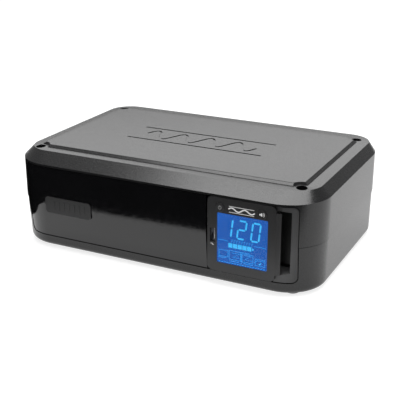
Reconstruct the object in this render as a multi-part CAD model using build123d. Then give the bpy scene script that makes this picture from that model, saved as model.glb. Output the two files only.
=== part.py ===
from build123d import *
import os
from math import cos, pi, sin

# Desktop uninterruptible power supply, modelled in millimetres.
# +X is to the right, the front faces -Y, +Z is up. The origin is the centre of the footprint,
# on the surface that the rubber feet stand on.

# ---------------------------------------------------------------- driving dimensions
WIDTH = 330.0
DEPTH = 220.0
FOOT_HEIGHT = 2.0
PANEL_TOP = 103.2           # raised centre of the lid
RIM_TOP = 100.3             # outer edge of the rim around the raised centre
RIM_RISE = 0.6              # the rim climbs by this much towards the centre
CHAMFER_LOW = 91.3          # lower edge of the big chamfer
RIM_INSET = (8.7, 16.6, 9.4)   # run of the big chamfer at the sides, front and back
SEAM = 50.0                 # where the lid meets the base
WALL = 2.5
CORNER = 42.0
SEAM_STEP = 0.6             # the base stands in from the lid by this much
SEAM_GROOVE = 0.7           # height of the shadow gap between lid and base
SEAM_DEPTH = 1.4
BASE_FILLET = 6.0
GAP = 0.4                   # clearance around loose panels
INSERT_GAP = 0.8            # shadow gap around the front insert

# front insert: glossy fascia on the left, control bay on the right
INSERT_HALF = 147.6
INSERT_LOW = 13.3
INSERT_HIGH = 89.2
INSERT_CORNER = 6.0
FACE_INSET = 0.7            # the insert's face stands in from the shells
BAY_LEFT = 58.8             # right edge of the fascia, beside the display module

# display module, square so that it can be refitted a quarter turn round
MODULE_LEFT = 60.3
MODULE_RIGHT = 132.3
MODULE_LOW = 15.0
MODULE_HIGH = 88.6
MODULE_FRONT = -109.3
MODULE_THICK = 3.0
MODULE_BACK = -86.0
MODULE_BEVEL = 4.2          # sloped finger edge on the module's right
BEVEL_LOW = 21.5
BEVEL_HIGH = 82.0
SCREEN_LEFT = 70.2
SCREEN_RIGHT = 120.4
SCREEN_LOW = 24.0
SCREEN_HIGH = 73.6
BUTTON_RADIUS = 4.5
BUTTON_Z = 78.9
POWER_X = 73.0
MUTE_X = 114.6
USB_X = 65.6
USB_Z = 50.6
RIBBON_X = 97.0
RIBBON_Z = 51.0
RIBBON_BACK = -72.0

# finger recess beside the module
GRIP_LEFT = 128.2
GRIP_RIGHT = 138.6
GRIP_MOUTH_RIGHT = 143.6
GRIP_LOW = 27.5
GRIP_HIGH = 81.5
GRIP_DEEP = -94.5

# lid details
SCREW_X = 142.0
SCREW_FRONT_Y = -84.4
SCREW_BACK_Y = 81.2
WELL_RADIUS = 5.2
WELL_FLOOR = 62.0
PANEL_HALF = 141.6          # flat top of the raised centre
PANEL_FRONT_Y = -81.2
PANEL_BACK_Y = 78.4
PANEL_RUN = 3.2             # run of the slope around the raised centre
PANEL_LEDGE = 0.3           # upright edge at the foot and at the top of that slope

# underside
KEYHOLE_X = [-2.0, 148.0]
KEYHOLE_Y = 20.0
KEYHOLE_TRAVEL = 11.0

# battery and its door
BATTERY = (94.0, 151.0, 65.0)
BATTERY_X = -75.0
BATTERY_Y = -1.5
BATTERY_LOW = 6.0
DOOR_RIGHT = -24.0
DOOR_FRONT = -78.5
DOOR_BACK = 75.6
DOOR_LIP = 14.0             # top of the door's upturned end, in the left wall
TERMINAL_Y = [-62.0, 59.0]
TERMINAL_Z = 38.0

# power parts
CORE = (92.0, 44.0, 76.0)
CORE_X = 100.0
CORE_Y = -16.0
CORE_LOW = 9.0
BOARD_LEFT = -12.0
BOARD_RIGHT = 44.0
BOARD_FRONT = -98.0
BOARD_BACK = 64.0
BOARD_LOW = 12.0
BOARD_THICK = 1.6
BOARD_TOP = BOARD_LOW + BOARD_THICK + 0.02
DISPLAY_PLUG_X = 37.0       # where the display cable is plugged into the board
SINK_Y = [-62.0, -20.0]
SINK_HEIGHT = 45.0

# rear
REAR_HALF = 131.0
REAR_LOW = 15.0
REAR_HIGH = 88.0
REAR_FACE = 104.0
REAR_THICK = 2.2
OUTLET_PITCH = 40.0
OUTLET_X = [-50.0 + OUTLET_PITCH * i for i in range(4)]
OUTLET_ROWS = [70.0, 35.0]
OUTLET_WIDE = 34.0
OUTLET_TALL = 27.0
OUTLET_DEEP = 22.0
INLET_X = 110.0
INLET_Z = 38.0
BREAKER_X = 110.0
BREAKER_Z = 72.0
BREAKER_RADIUS = 6.5
JACK_X = -115.0
JACK_Z = 68.0
JACK_PITCH = 15.2
USB_B_X = -115.0
USB_B_Z = 40.0
GROUND_X = -115.0
GROUND_Z = 25.0
VENT_X = -87.0
VENT_LOW = 25.0
VENT_PITCH = 4.2


# ---------------------------------------------------------------- helpers
def block(x, y, z):
    """A box from its (low, high) pair along each axis."""
    size = [pair[1] - pair[0] for pair in (x, y, z)]
    middle = [(pair[1] + pair[0]) / 2 for pair in (x, y, z)]
    return Pos(*middle) * Box(*size)


def centred(x, y, z, size):
    """A box from its centre in plan, its lowest height and its size."""
    return Pos(x, y, z + size[2] / 2) * Box(*size)


def post(x, y, low, high, radius):
    """An upright cylinder."""
    return Pos(x, y, (low + high) / 2) * Cylinder(radius, high - low)


def peg(x, z, front, back, radius):
    """A cylinder that lies along Y."""
    return Pos(x, (front + back) / 2, z) * Rot(90, 0, 0) * Cylinder(radius, back - front)


def bar(y, z, left, right, radius):
    """A cylinder that lies along X."""
    return Pos((left + right) / 2, y, z) * Rot(0, 90, 0) * Cylinder(radius, right - left)


def plate_y(x, z, front, back, corner):
    """A plate in the XZ plane with round corners, from y = front to y = back."""
    outline = RectangleRounded(x[1] - x[0], z[1] - z[0], corner)
    start = Pos((x[0] + x[1]) / 2, back, (z[0] + z[1]) / 2) * Rot(90, 0, 0)
    return start * extrude(outline, back - front)


def stack(sections):
    """Ruled loft through rounded rectangles: (z, half width, front y, back y, corner radius)."""
    outlines = []
    for z, half, front, back, radius in sections:
        outline = RectangleRounded(2 * half, back - front, radius)
        outlines.append(Pos(0, (front + back) / 2, z) * outline)
    return loft(outlines, ruled=True)


def inset(sections, amount):
    """The same sections, each pulled in by the amount on all four sides."""
    return [(z, half - amount, front + amount, back - amount, radius - amount)
            for z, half, front, back, radius in sections]


def wire(points, radii, thickness):
    """A round wire along straight runs joined by arcs."""
    path = FilletPolyline(*points, radius=radii)
    start = Plane(origin=path @ 0, z_dir=path % 0)
    return sweep(start * Circle(thickness / 2), path=path)


def joined(pieces):
    """One compound of separate solids."""
    solids = []
    for piece in pieces:
        solids.extend(piece.solids())
    return Compound(children=solids)


def repeat(piece, places):
    """Copies of one piece at several places."""
    return joined([Pos(*place) * piece for place in places])


# ---------------------------------------------------------------- body outline
HALF_W = WIDTH / 2
HALF_D = DEPTH / 2
LID_WALL = [
    (SEAM, HALF_W, -HALF_D, HALF_D, CORNER),
    (CHAMFER_LOW, HALF_W, -HALF_D, HALF_D, CORNER),
]
LID_CHAMFER = [
    (CHAMFER_LOW, HALF_W, -HALF_D, HALF_D, CORNER),
    (RIM_TOP, HALF_W - RIM_INSET[0], -HALF_D + RIM_INSET[1], HALF_D - RIM_INSET[2], 25.0),
]
BASE_WALL = [
    (FOOT_HEIGHT, HALF_W - 1.6, -HALF_D + 4.4, HALF_D - 1.6, CORNER - 3),
    (SEAM, HALF_W - SEAM_STEP, -HALF_D + SEAM_STEP, HALF_D - SEAM_STEP, CORNER - SEAM_STEP),
]
INSERT_SECTIONS = inset([BASE_WALL[0], LID_WALL[0], LID_WALL[1]], FACE_INSET)
INSERT_BOX = ((-INSERT_HALF, INSERT_HALF), (INSERT_LOW, INSERT_HIGH))
WELLS = [(side * SCREW_X, y) for side in (-1, 1) for y in (SCREW_FRONT_Y, SCREW_BACK_Y)]
FEET = [(side * 138.0, end * 88.0) for side in (-1, 1) for end in (-1, 1)]
TERMINAL_X = BATTERY_X + BATTERY[0] / 2


def lid_outer():
    """Wall, big chamfer, sloped rim and raised panel, which is notched around the screw wells."""
    foot = (PANEL_HALF + PANEL_RUN, PANEL_FRONT_Y - PANEL_RUN, PANEL_BACK_Y + PANEL_RUN, 6.0)
    low = RIM_TOP + RIM_RISE
    rim = stack([LID_CHAMFER[1], (low, *foot)])
    flat = (PANEL_HALF, PANEL_FRONT_Y, PANEL_BACK_Y, 3.0)
    panel = stack([(low, *foot), (low + PANEL_LEDGE, *foot),
                   (PANEL_TOP - PANEL_LEDGE, *flat), (PANEL_TOP, *flat)])
    land = WELL_RADIUS + 3.2
    notch = Pos(0, 0, low + 1.5) * Cone(land, land + 1.5, 3.0)
    panel -= repeat(notch, [(x, y, 0) for x, y in WELLS])
    return stack(LID_WALL) + stack(LID_CHAMFER) + rim + panel


def base_outer():
    body = stack(BASE_WALL)
    return fillet(body.edges().group_by(Axis.Z)[0], BASE_FILLET)


def seam_groove():
    """Shadow gap around the base's upper edge."""
    half = HALF_W - SEAM_STEP
    outside = (half + 2, -HALF_D - 2, HALF_D + 2, CORNER + 2)
    inside = (half - SEAM_DEPTH, -HALF_D + SEAM_STEP + SEAM_DEPTH, HALF_D - SEAM_STEP - SEAM_DEPTH,
              CORNER - SEAM_STEP - SEAM_DEPTH)
    levels = (SEAM - SEAM_GROOVE, SEAM + 1)
    return stack([(z, *outside) for z in levels]) - stack([(z, *inside) for z in levels])


def front_opening(grow, back=-94.5):
    """Prism of the front insert's outline, grown by the amount, back to the given y."""
    x = (-INSERT_HALF - grow, INSERT_HALF + grow)
    z = (INSERT_LOW - grow, INSERT_HIGH + grow)
    return plate_y(x, z, -HALF_D - 10, back, INSERT_CORNER + grow)


def rear_opening():
    return plate_y((-REAR_HALF, REAR_HALF), (REAR_LOW, REAR_HIGH), 90, HALF_D + 10, 4)


def door_region(grow):
    """The part of the base's skin that the battery door takes up."""
    x = (-HALF_W - 10, DOOR_RIGHT + grow)
    y = (DOOR_FRONT - grow, DOOR_BACK + grow)
    return block(x, y, (0, DOOR_LIP + grow))


def insert_skin(depth):
    """Curved wall behind the front insert's face, of the given depth."""
    outside = stack(INSERT_SECTIONS)
    return outside - stack(inset(INSERT_SECTIONS, depth))


# ---------------------------------------------------------------- casing
def top_cover():
    hollow_wall = inset([(SEAM - 1, *LID_WALL[0][1:]), LID_WALL[1]], WALL)
    hollow_top = [
        hollow_wall[1],
        (RIM_TOP - WALL, *inset([LID_CHAMFER[1]], WALL)[0][1:]),
    ]
    lid = lid_outer() - stack(hollow_wall) - stack(hollow_top)
    for x, y in WELLS:
        column = post(x, y, WELL_FLOOR - 3, RIM_TOP - 2.5, WELL_RADIUS + 2.2)
        lid += column
        lid -= post(x, y, WELL_FLOOR, PANEL_TOP + 1, WELL_RADIUS)
        lid -= post(x, y, WELL_FLOOR - 4, WELL_FLOOR + 1, 2.2)
    lid -= engraving()
    return lid - front_opening(0) - rear_opening()


def engraving():
    """Generic waveform between two rules, cut into the raised panel."""
    depth = 0.8
    width = 2.4
    waves = 4
    length = 126.0
    samples = 48
    middle = (PANEL_FRONT_Y + PANEL_BACK_Y) / 2
    points = []
    for i in range(samples + 1):
        share = i / samples
        points.append(((share - 0.5) * length, middle + 12 * sin(2 * pi * waves * share)))
    wave = Spline(*points)
    groove = trace(wave, line_width=width)
    rules = Sketch()
    for side in (-1, 1):
        rules += Pos(0, middle + side * 20) * Rectangle(length + 26, width)
    return Pos(0, 0, PANEL_TOP - depth) * extrude(groove + rules, depth + 1)


def base_tray():
    hollow = inset([(FOOT_HEIGHT + WALL, *BASE_WALL[0][1:]), BASE_WALL[1]], WALL)
    hollow[1] = (SEAM + 1, *hollow[1][1:])
    tray = base_outer() - stack(hollow) - seam_groove()
    tray -= door_region(0)
    for x, y in WELLS:
        tray += post(x, y, FOOT_HEIGHT + 1, WELL_FLOOR - 3.2, 5.0)
        tray -= post(x, y, 30, WELL_FLOOR, 1.7)
    for x, y in board_screw_places():
        tray += post(x, y, FOOT_HEIGHT + 1, BOARD_LOW, 3.5)
        tray -= post(x, y, 5.5, BOARD_LOW + 1, 1.3)
    for x, y in core_screw_places():
        tray += post(x, y, FOOT_HEIGHT + 1, CORE_LOW - 1.6, 6.0)
        tray -= post(x, y, FOOT_HEIGHT + 1.4, CORE_LOW, 1.9)
    for rib_x in (BATTERY_X - BATTERY[0] / 2 - 3.2, BATTERY_X + BATTERY[0] / 2 + 1.6):
        for rib_y in (-84.0, 76.2):
            tray += block((rib_x, rib_x + 1.6), (rib_y, rib_y + 3.2), (FOOT_HEIGHT + 1, 40))
    tray -= base_vents()
    tray -= wall_keyholes()
    return tray - front_opening(0) - rear_opening()


def base_vents():
    """Cooling slots under the transformer."""
    slots = [block((x, x + 3), (22, 52), (0, FOOT_HEIGHT + WALL + 1)) for x in range(70, 134, 8)]
    return joined(slots)


def wall_keyholes():
    """Two keyholes for hanging the unit on screws."""
    shank = 2.3
    end = KEYHOLE_Y + KEYHOLE_TRAVEL
    top = FOOT_HEIGHT + WALL + 1
    holes = []
    for x in KEYHOLE_X:
        holes.append(post(x, KEYHOLE_Y, 0, top, 4.5))
        holes.append(block((x - shank, x + shank), (KEYHOLE_Y, end), (0, top)))
        holes.append(post(x, end, 0, top, shank))
    return joined(holes)


def rear_panel():
    panel = plate_y((-REAR_HALF - 4, REAR_HALF + 4), (REAR_LOW - 4, REAR_HIGH + 4),
                    REAR_FACE - REAR_THICK, REAR_FACE, 5)
    for x in OUTLET_X:
        for z in OUTLET_ROWS:
            x_pair = (x - OUTLET_WIDE / 2 - 0.2, x + OUTLET_WIDE / 2 + 0.2)
            z_pair = (z - OUTLET_TALL / 2 - 0.2, z + OUTLET_TALL / 2 + 0.2)
            panel -= plate_y(x_pair, z_pair, REAR_FACE - 10, REAR_FACE + 5, 8)
    panel -= plate_y(*inlet_box(0.2), REAR_FACE - 10, REAR_FACE + 5, 3)
    panel -= peg(BREAKER_X, BREAKER_Z, REAR_FACE - 10, REAR_FACE + 5, BREAKER_RADIUS + 0.1)
    panel -= block(*jack_box(0.2))
    panel -= block(*usb_b_box(0.2))
    panel -= peg(GROUND_X, GROUND_Z, REAR_FACE - 10, REAR_FACE + 5, 1.7)
    for i in range(13):
        z = VENT_LOW + VENT_PITCH * i
        panel -= block((VENT_X - 12, VENT_X + 12), (REAR_FACE - 10, REAR_FACE + 5), (z, z + 2.0))
    return panel


def cover_screws():
    head = post(0, 0, WELL_FLOOR + 0.05, WELL_FLOOR + 3, 3.6)
    cross = block((-2, 2), (-0.4, 0.4), (WELL_FLOOR + 1.6, WELL_FLOOR + 4))
    head -= cross + Rot(0, 0, 90) * cross
    screw = head + post(0, 0, WELL_FLOOR - 16, WELL_FLOOR + 0.1, 1.65)
    return repeat(screw, [(x, y, 0) for x, y in WELLS])


def rubber_feet():
    foot = post(0, 0, 0, FOOT_HEIGHT, 8.0)
    foot = chamfer(foot.edges().group_by(Axis.Z)[0], 0.6)
    return repeat(foot, [(x, y, 0) for x, y in FEET])


def battery_door():
    hollow = inset([(FOOT_HEIGHT + WALL, *BASE_WALL[0][1:]), BASE_WALL[1]], WALL)
    skin = base_outer() - stack(hollow)
    door = skin & door_region(-GAP)
    for i in range(6):
        door -= block((-150 + 4 * i, -148 + 4 * i), (-20, 20), (0, FOOT_HEIGHT + 0.8))
    return door


# ---------------------------------------------------------------- front
def front_fascia():
    """Glossy curved panel, with hooks on its back."""
    keep = front_opening(-INSERT_GAP) & block((-INSERT_HALF - 5, BAY_LEFT), (-130, -60), (0, 110))
    fascia = insert_skin(2.4) & keep
    for x in (-110.0, -40.0, 30.0):
        for z in (24.0, 76.0):
            fascia += block((x - 5, x + 5), (-107, -102.5), (z, z + 2.4))
    return fascia


def front_badge():
    """Small raised plate, with plain upright ribs."""
    badge = plate_y((-121.5, -67.5), (40.6, 58.0), -110.6, -109.3, 3.6)
    badge = chamfer(badge.faces().sort_by(Axis.Y)[0].edges(), 0.4)
    for i in range(7):
        x = -112.0 + 6.0 * i
        badge += plate_y((x, x + 2.0), (44.4, 54.2), -110.8, -110.5, 0.9)
    return badge


def control_bay():
    """Fixed sleeve that holds the display module, with the finger recess beside it."""
    sleeve_x = (MODULE_LEFT + 1.0, MODULE_RIGHT - 4.8)
    sleeve_z = (MODULE_LOW + 1.2, MODULE_HIGH - 1.2)
    sleeve = plate_y(sleeve_x, sleeve_z, -106.0, -78.0, 4)
    inner_x = (sleeve_x[0] + 1.8, sleeve_x[1] - 1.8)
    inner_z = (sleeve_z[0] + 1.8, sleeve_z[1] - 1.8)
    outer_shape = stack(INSERT_SECTIONS)
    solid_end = outer_shape & front_opening(-INSERT_GAP, GRIP_DEEP + 2.5)
    solid_end &= block((sleeve_x[1] - 1.8, INSERT_HALF + 5), (-130, -80), (0, 110))
    bay = sleeve + solid_end
    bay -= plate_y(inner_x, inner_z, -130, -79.8, 3)
    window_x = (inner_x[0] + 12, inner_x[1] - 12)
    bay -= plate_y(window_x, (inner_z[0] + 20, inner_z[1] - 20), -90, -70, 3)
    seat_x = (MODULE_LEFT - 0.5, MODULE_RIGHT + GAP)
    seat_z = (MODULE_LOW - 2.0, MODULE_HIGH + 2.0)
    bay -= block(seat_x, (-130, MODULE_FRONT + MODULE_THICK + GAP), seat_z)
    return bay - grip_recess()


def grip_recess():
    """Pocket for the fingertips, which widens towards the front."""
    deep = block((GRIP_LEFT, GRIP_RIGHT), (-112, GRIP_DEEP), (GRIP_LOW, GRIP_HIGH))
    wide = upright_rectangle(-111, (GRIP_LEFT, GRIP_MOUTH_RIGHT), (MODULE_LOW + 3.0, MODULE_HIGH - 3.0))
    tight = upright_rectangle(-98, (GRIP_LEFT, GRIP_RIGHT), (GRIP_LOW, GRIP_HIGH))
    return deep + loft([wide, tight], ruled=True)


def upright_rectangle(y, x, z):
    """A rectangle that faces along Y."""
    middle = ((x[0] + x[1]) / 2, y, (z[0] + z[1]) / 2)
    return Plane(origin=middle, x_dir=(1, 0, 0), z_dir=(0, 1, 0)) * Rectangle(x[1] - x[0], z[1] - z[0])


# ---------------------------------------------------------------- display module
def module_bezel():
    """Front plate with a skirt, the screen's opening and a sloped edge for the fingertips."""
    flat_right = MODULE_RIGHT - MODULE_BEVEL
    bezel = plate_y((MODULE_LEFT, flat_right), (MODULE_LOW, MODULE_HIGH),
                    MODULE_FRONT, MODULE_FRONT + MODULE_THICK, 5)
    back = MODULE_FRONT + MODULE_THICK
    slope = Polyline((flat_right - 6, MODULE_FRONT), (flat_right, MODULE_FRONT), (MODULE_RIGHT, back - 0.6),
                     (MODULE_RIGHT, back), (flat_right - 6, back), close=True)
    bezel += Pos(0, 0, BEVEL_LOW) * extrude(make_face(slope), BEVEL_HIGH - BEVEL_LOW)
    skirt_x = (MODULE_LEFT + 3.2, MODULE_RIGHT - 7.0)
    skirt_z = (MODULE_LOW + 3.4, MODULE_HIGH - 3.4)
    skirt = plate_y(skirt_x, skirt_z, MODULE_FRONT + 2, -98.0, 3)
    skirt -= plate_y((skirt_x[0] + 1.2, skirt_x[1] - 1.2), (skirt_z[0] + 1.2, skirt_z[1] - 1.2),
                     MODULE_FRONT + MODULE_THICK, -90.0, 1)
    bezel += skirt
    bezel -= plate_y((SCREEN_LEFT, SCREEN_RIGHT), (SCREEN_LOW, SCREEN_HIGH), -112, -100, 1)
    for x in (POWER_X, MUTE_X):
        bezel -= peg(x, BUTTON_Z, -112, MODULE_FRONT + MODULE_THICK, BUTTON_RADIUS + 0.2)
    bezel -= block((USB_X - 2.6, USB_X + 2.6), (-112, -100), (USB_Z - 6.8, USB_Z + 6.8))
    return bezel


def module_back():
    x = (MODULE_LEFT + 3.2, MODULE_RIGHT - 7.0)
    z = (MODULE_LOW + 3.4, MODULE_HIGH - 3.4)
    shell = plate_y(x, z, -98.0, MODULE_BACK, 3)
    shell -= plate_y((x[0] + 1.6, x[1] - 1.6), (z[0] + 1.6, z[1] - 1.6), -99.0, MODULE_BACK - 1.8, 2)
    for place_x, place_z in module_screw_places():
        shell -= peg(place_x, place_z, -90, -80, 1.3)
    return shell - block((84, 110), (-90, -80), (48, 54))


def module_screw_places():
    return [(x, z) for x in (MODULE_LEFT + 9, MODULE_RIGHT - 13) for z in (22.5, 80.0)]


def module_screws():
    screw = peg(0, 0, MODULE_BACK + 0.02, MODULE_BACK + 1.2, 2.3)
    screw += peg(0, 0, MODULE_BACK - 6.0, MODULE_BACK + 0.1, 1.2)
    screw -= block((-1.5, 1.5), (MODULE_BACK + 0.6, MODULE_BACK + 2), (-0.3, 0.3))
    return repeat(screw, [(x, 0, z) for x, z in module_screw_places()])


def display_window():
    return plate_y((SCREEN_LEFT + 0.1, SCREEN_RIGHT - 0.1), (SCREEN_LOW + 0.1, SCREEN_HIGH - 0.1),
                   MODULE_FRONT + 0.2, MODULE_FRONT + 1.0, 0.9)


def lcd_panel():
    """Liquid crystal cell, stepped so that its active area fills the opening behind the window."""
    panel = block((SCREEN_LEFT - 2, SCREEN_RIGHT + 2), (-106.2, -104.0), (SCREEN_LOW - 3, SCREEN_HIGH + 0.3))
    return panel + plate_y((SCREEN_LEFT + 0.1, SCREEN_RIGHT - 0.1), (SCREEN_LOW + 0.1, SCREEN_HIGH - 0.1),
                           MODULE_FRONT + 1.1, -106.1, 0.9)


def backlight():
    return block((SCREEN_LEFT - 2, SCREEN_RIGHT + 2), (-103.9, -100.4), (SCREEN_LOW - 3, SCREEN_HIGH + 0.3))


def display_board():
    board = block((MODULE_LEFT + 5.2, MODULE_RIGHT - 9.0), (-100.0, -98.4),
                  (MODULE_LOW + 5.4, MODULE_HIGH - 5.4))
    for x, z in module_screw_places():
        board -= peg(x, z, -101, -97, 1.5)
    return board


def button_switches():
    body = block((-3, 3), (-103.5, -100.02), (-3, 3))
    body += peg(0, 0, -104.6, -103.4, 1.7)
    return repeat(body, [(POWER_X, 0, BUTTON_Z), (MUTE_X, 0, BUTTON_Z)])


def push_button(x):
    """Round cap with a collar behind the bezel and a stem towards its switch."""
    collar = MODULE_FRONT + MODULE_THICK + 0.1
    cap = peg(x, BUTTON_Z, MODULE_FRONT - 0.5, collar, BUTTON_RADIUS)
    cap = fillet(cap.faces().sort_by(Axis.Y)[0].edges(), 0.6)
    cap += peg(x, BUTTON_Z, collar - 0.01, collar + 0.6, BUTTON_RADIUS + 0.5)
    return cap + peg(x, BUTTON_Z, collar + 0.5, collar + 0.9, 1.5)


def usb_charging_port():
    """Upright USB type A socket: metal shell with its tongue."""
    shell = block((USB_X - 2.4, USB_X + 2.4), (MODULE_FRONT + 2.2, -100.02), (USB_Z - 6.6, USB_Z + 6.6))
    shell -= block((USB_X - 2.1, USB_X + 2.1), (-112, -101.0), (USB_Z - 6.25, USB_Z + 6.25))
    tongue = block((USB_X + 0.2, USB_X + 1.6), (MODULE_FRONT + 3.0, -100.5), (USB_Z - 5.6, USB_Z + 5.6))
    return shell + tongue


def ribbon_socket():
    """Connector on the display board, which reaches out through the module's back."""
    return block((RIBBON_X - 9, RIBBON_X + 9), (-98.38, MODULE_BACK), (RIBBON_Z - 2.4, RIBBON_Z + 2.4))


def display_ribbon():
    """Flat cable folded up behind the module: the space that its folds take."""
    x = (RIBBON_X - 7, RIBBON_X + 7)
    return block(x, (MODULE_BACK + 0.05, RIBBON_BACK), (RIBBON_Z - 5, RIBBON_Z + 5))


def display_cable():
    """Plug behind the bay, with the round cable that goes on to the main board."""
    x = (RIBBON_X - 9, RIBBON_X + 9)
    plug = block(x, (RIBBON_BACK + 0.05, RIBBON_BACK + 5), (RIBBON_Z - 5, RIBBON_Z + 5))
    y = RIBBON_BACK + 2.5
    points = [
        (RIBBON_X - 8.5, y, RIBBON_Z),
        (DISPLAY_PLUG_X, y, RIBBON_Z),
        (DISPLAY_PLUG_X, y, BOARD_TOP + 6),
    ]
    board_plug = centred(DISPLAY_PLUG_X, y, BOARD_TOP, (12, 5, 6.5))
    return plug + wire(points, [14], 4.0) + board_plug


# ---------------------------------------------------------------- rear connections
def inlet_box(grow):
    return ((INLET_X - 13.5 - grow, INLET_X + 13.5 + grow), (INLET_Z - 9.8 - grow, INLET_Z + 9.8 + grow))


def jack_box(grow):
    x = (JACK_X - 8 - grow, JACK_X + 8 + grow)
    return x, (REAR_FACE - 16, REAR_FACE + 0.6), (JACK_Z - 16 - grow, JACK_Z + 16 + grow)


def usb_b_box(grow):
    x = (USB_B_X - 6 - grow, USB_B_X + 6 + grow)
    return x, (REAR_FACE - 16, REAR_FACE + 0.6), (USB_B_Z - 5.4 - grow, USB_B_Z + 5.4 + grow)


def outlet_face():
    """One three-pin outlet, face at y = 0, body towards -Y."""
    x_pair = (-OUTLET_WIDE / 2, OUTLET_WIDE / 2)
    z_pair = (-OUTLET_TALL / 2, OUTLET_TALL / 2)
    body = plate_y(x_pair, z_pair, -OUTLET_DEEP, 0, 7.9)
    body += plate_y((x_pair[0] - 1, x_pair[1] + 1), (z_pair[0] - 1, z_pair[1] + 1), 0, 1.2, 8.5)
    body -= block((-7.4, -5.2), (-14, 2), (-1.5, 6.5))
    body -= block((5.2, 7.2), (-14, 2), (-0.5, 5.5))
    body -= peg(0, -7.5, -14, 2, 2.6)
    body -= block((-2.6, 2.6), (-14, 2), (-9.0, -7.5))
    return body


def outlet_places():
    """Upper row first, each row from left to right along +X."""
    return [(x, REAR_FACE, z) for z in OUTLET_ROWS for x in OUTLET_X]


def outlet_contacts():
    """Brass spring contacts behind the blade slots and the earth hole."""
    one = [
        block((-7.0, -5.6), (-13.9, -6), (-1.2, 6.2)),
        block((5.6, 6.8), (-13.9, -6), (-0.2, 5.2)),
        peg(0, -7.5, -13.9, -6, 2.3) - peg(0, -7.5, -14.0, -5, 1.7),
    ]
    return joined([Pos(*place) * piece for place in outlet_places() for piece in one])


def mains_inlet():
    x, z = inlet_box(0)
    body = plate_y(x, z, REAR_FACE - 20, REAR_FACE + 1.0, 3)
    body += plate_y((x[0] - 2, x[1] + 2), (z[0] - 2, z[1] + 2), REAR_FACE, REAR_FACE + 1.6, 3)
    body -= plate_y((x[0] + 1.6, x[1] - 1.6), (z[0] + 1.6, z[1] - 1.6), REAR_FACE - 16, REAR_FACE + 5, 4)
    return body - inlet_pins()


def inlet_pins():
    pins = []
    for x, z in ((-7.0, -3.6), (0.0, -0.4), (7.0, -3.6)):
        middle_x = INLET_X + x
        middle_z = INLET_Z + z
        pins.append(block((middle_x - 1, middle_x + 1), (REAR_FACE - 24, REAR_FACE - 3),
                          (middle_z - 2, middle_z + 2)))
    return joined(pins)


def breaker_body():
    body = block((BREAKER_X - 8, BREAKER_X + 8), (REAR_FACE - 28, REAR_FACE - REAR_THICK - 0.05),
                 (BREAKER_Z - 8, BREAKER_Z + 8))
    neck = peg(BREAKER_X, BREAKER_Z, REAR_FACE - REAR_THICK - 0.1, REAR_FACE + 3, BREAKER_RADIUS)
    body += neck
    return body - peg(BREAKER_X, BREAKER_Z, REAR_FACE - 6, REAR_FACE + 4, 4.0)


def breaker_button():
    button = peg(BREAKER_X, BREAKER_Z, REAR_FACE - 3.0, REAR_FACE + 6.8, 3.7)
    return fillet(button.faces().sort_by(Axis.Y)[-1].edges(), 0.8)


def line_jacks():
    """Two modular jacks, one above the other."""
    body = block(*jack_box(0))
    for z in (JACK_Z - JACK_PITCH / 2, JACK_Z + JACK_PITCH / 2):
        body -= block((JACK_X - 5.9, JACK_X + 5.9), (REAR_FACE - 12, REAR_FACE + 2), (z - 3.4, z + 3.4))
        body -= block((JACK_X - 2, JACK_X + 2), (REAR_FACE - 12, REAR_FACE + 2), (z - 5.6, z - 3.3))
    return body


def usb_data_port():
    body = block(*usb_b_box(0))
    body -= block((USB_B_X - 4.3, USB_B_X + 4.3), (REAR_FACE - 10, REAR_FACE + 2),
                  (USB_B_Z - 4.0, USB_B_Z + 4.0))
    tongue = block((USB_B_X - 2.8, USB_B_X + 2.8), (REAR_FACE - 10.5, REAR_FACE - 1),
                   (USB_B_Z - 1.6, USB_B_Z + 1.6))
    return body + tongue


def ground_screw():
    head = peg(GROUND_X, GROUND_Z, REAR_FACE + 0.05, REAR_FACE + 2.6, 3.6)
    head -= block((GROUND_X - 4, GROUND_X + 4), (REAR_FACE + 1.6, REAR_FACE + 3),
                  (GROUND_Z - 0.5, GROUND_Z + 0.5))
    return head + peg(GROUND_X, GROUND_Z, REAR_FACE - 9, REAR_FACE + 0.1, 1.6)


# ---------------------------------------------------------------- battery
def battery():
    case = centred(BATTERY_X, BATTERY_Y, BATTERY_LOW, BATTERY)
    case = fillet(case.edges().filter_by(Axis.X), 2.0)
    lid_x = BATTERY_X + BATTERY[0] / 2
    groove = case - centred(BATTERY_X, BATTERY_Y, BATTERY_LOW + 0.6,
                            (BATTERY[0] + 5, BATTERY[1] - 1.2, BATTERY[2] - 1.2))
    return case - (groove & block((lid_x - 7.5, lid_x - 6.5), (-200, 200), (0, 200)))


def battery_terminals():
    tabs = []
    for y in TERMINAL_Y:
        z = (TERMINAL_Z - 0.4, TERMINAL_Z + 0.4)
        tab = block((TERMINAL_X + 0.02, TERMINAL_X + 6.4), (y - 3.15, y + 3.15), z)
        tabs.append(tab - post(TERMINAL_X + 4.2, y, 0, 80, 0.9))
    return joined(tabs)


def battery_lead(y, board_y):
    """Insulated push-on connector and its wire to the board."""
    outside = (TERMINAL_Z - 2.4, TERMINAL_Z + 2.4)
    inside = (TERMINAL_Z - 0.5, TERMINAL_Z + 0.5)
    clip = block((TERMINAL_X + 1.4, TERMINAL_X + 11), (y - 4.4, y + 4.4), outside)
    clip -= block((TERMINAL_X + 1, TERMINAL_X + 7.2), (y - 3.3, y + 3.3), inside)
    start = TERMINAL_X + 10.5
    points = [
        (start, y, TERMINAL_Z),
        (start + 10, y, TERMINAL_Z),
        (start + 10, board_y, TERMINAL_Z),
        (start + 10, board_y, BOARD_TOP + 4),
    ]
    spade = centred(start + 10, board_y, BOARD_TOP, (6, 9, 8))
    return clip + wire(points, [5, 8], 3.6) + spade


def battery_pad():
    """Foam strip between the battery and the lid."""
    top = BATTERY_LOW + BATTERY[2]
    return block((BATTERY_X - 30, BATTERY_X + 30), (-50, 50), (top + 0.05, RIM_TOP - WALL - 0.1))


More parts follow.
